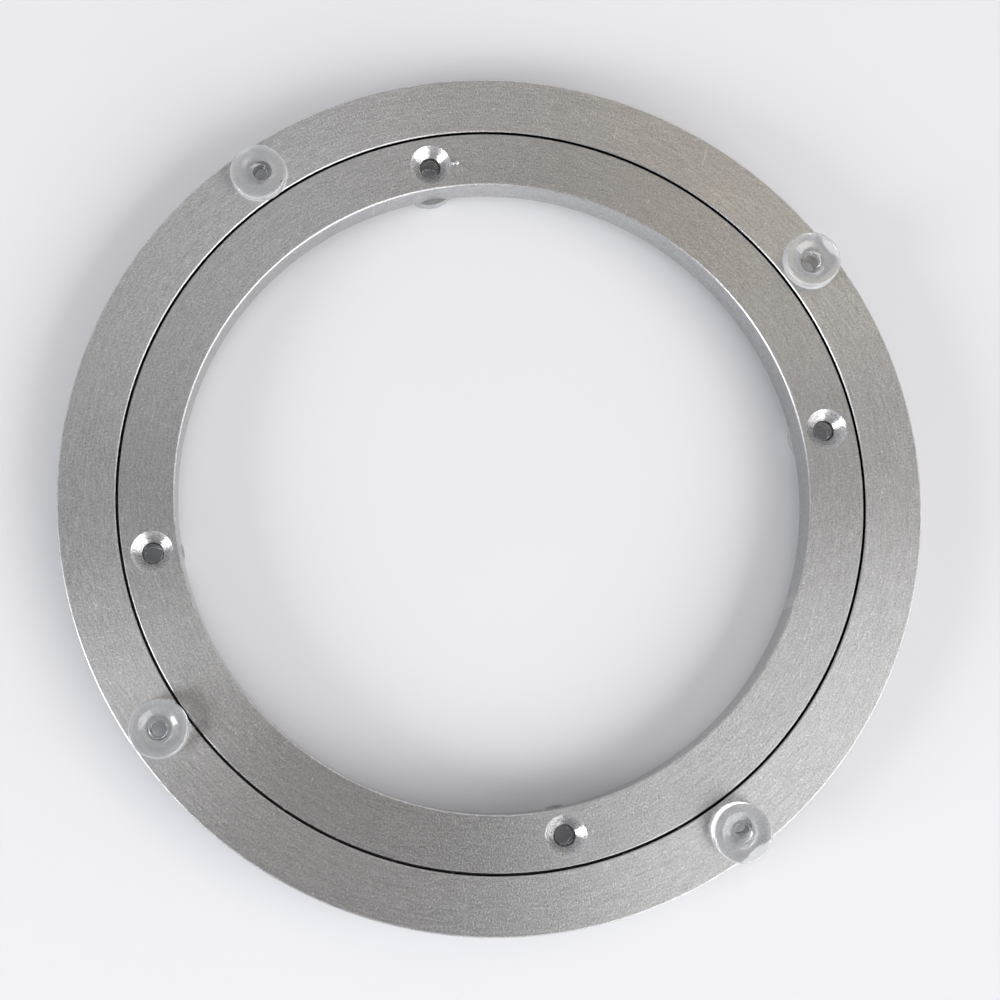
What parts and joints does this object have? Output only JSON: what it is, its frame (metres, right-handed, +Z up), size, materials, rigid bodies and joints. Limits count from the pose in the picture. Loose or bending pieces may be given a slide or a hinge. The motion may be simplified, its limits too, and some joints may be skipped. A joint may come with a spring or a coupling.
{
  "type": "lazy susan turntable",
  "caption": "Flat ring turntable bearing: an outer ring with soft tray pads turns on caged balls around an inner ring on soft feet.",
  "frame": {"origin": "centre of the turntable on the surface that its feet stand on", "axes": "+Z up along the axis of rotation, +X through the first foot"},
  "size_m": [0.2, 0.2, 0.0145],
  "materials": {
    "aluminium": "fine turned and brushed, satin",
    "clear_pvc": "clear soft moulded",
    "polished_steel": "polished",
    "black_steel": "black oxide",
    "black_nylon": "matte"
  },
  "bodies": {
    "base": {"inner_ring": "aluminium", "foot_1": "clear_pvc", "foot_2": "clear_pvc", "foot_3": "clear_pvc", "foot_4": "clear_pvc"},
    "turntable": {"outer_ring": "aluminium", "filling_plug": "black_steel", "top_pad_1": "clear_pvc", "top_pad_2": "clear_pvc", "top_pad_3": "clear_pvc", "top_pad_4": "clear_pvc"},
    "ball_train": {"ball_cage": "black_nylon", "ball_1": "polished_steel", "ball_2": "polished_steel", "ball_3": "polished_steel", "ball_4": "polished_steel", "ball_5": "polished_steel", "ball_6": "polished_steel", "ball_7": "polished_steel", "ball_8": "polished_steel", "ball_9": "polished_steel", "ball_10": "polished_steel", "ball_11": "polished_steel", "ball_12": "polished_steel", "ball_13": "polished_steel", "ball_14": "polished_steel", "ball_15": "polished_steel", "ball_16": "polished_steel", "ball_17": "polished_steel", "ball_18": "polished_steel", "ball_19": "polished_steel", "ball_20": "polished_steel", "ball_21": "polished_steel", "ball_22": "polished_steel", "ball_23": "polished_steel", "ball_24": "polished_steel", "ball_25": "polished_steel", "ball_26": "polished_steel", "ball_27": "polished_steel", "ball_28": "polished_steel", "ball_29": "polished_steel", "ball_30": "polished_steel", "ball_31": "polished_steel", "ball_32": "polished_steel", "ball_33": "polished_steel", "ball_34": "polished_steel", "ball_35": "polished_steel", "ball_36": "polished_steel", "ball_37": "polished_steel", "ball_38": "polished_steel", "ball_39": "polished_steel", "ball_40": "polished_steel"}
  },
  "joints": [
    {"name": "table_spin", "type": "hinge", "parent": "base", "child": "turntable", "pos_m": [0, 0, 0.00725], "axis": [0, 0, 1], "continuous": true},
    {"name": "cage_orbit", "type": "hinge", "parent": "base", "child": "ball_train", "pos_m": [0, 0, 0.00725], "axis": [0, 0, 1], "continuous": true}
  ],
  "couplings": [
    {"joint": "cage_orbit", "follows": "table_spin", "ratio": 0.5116}
  ]
}
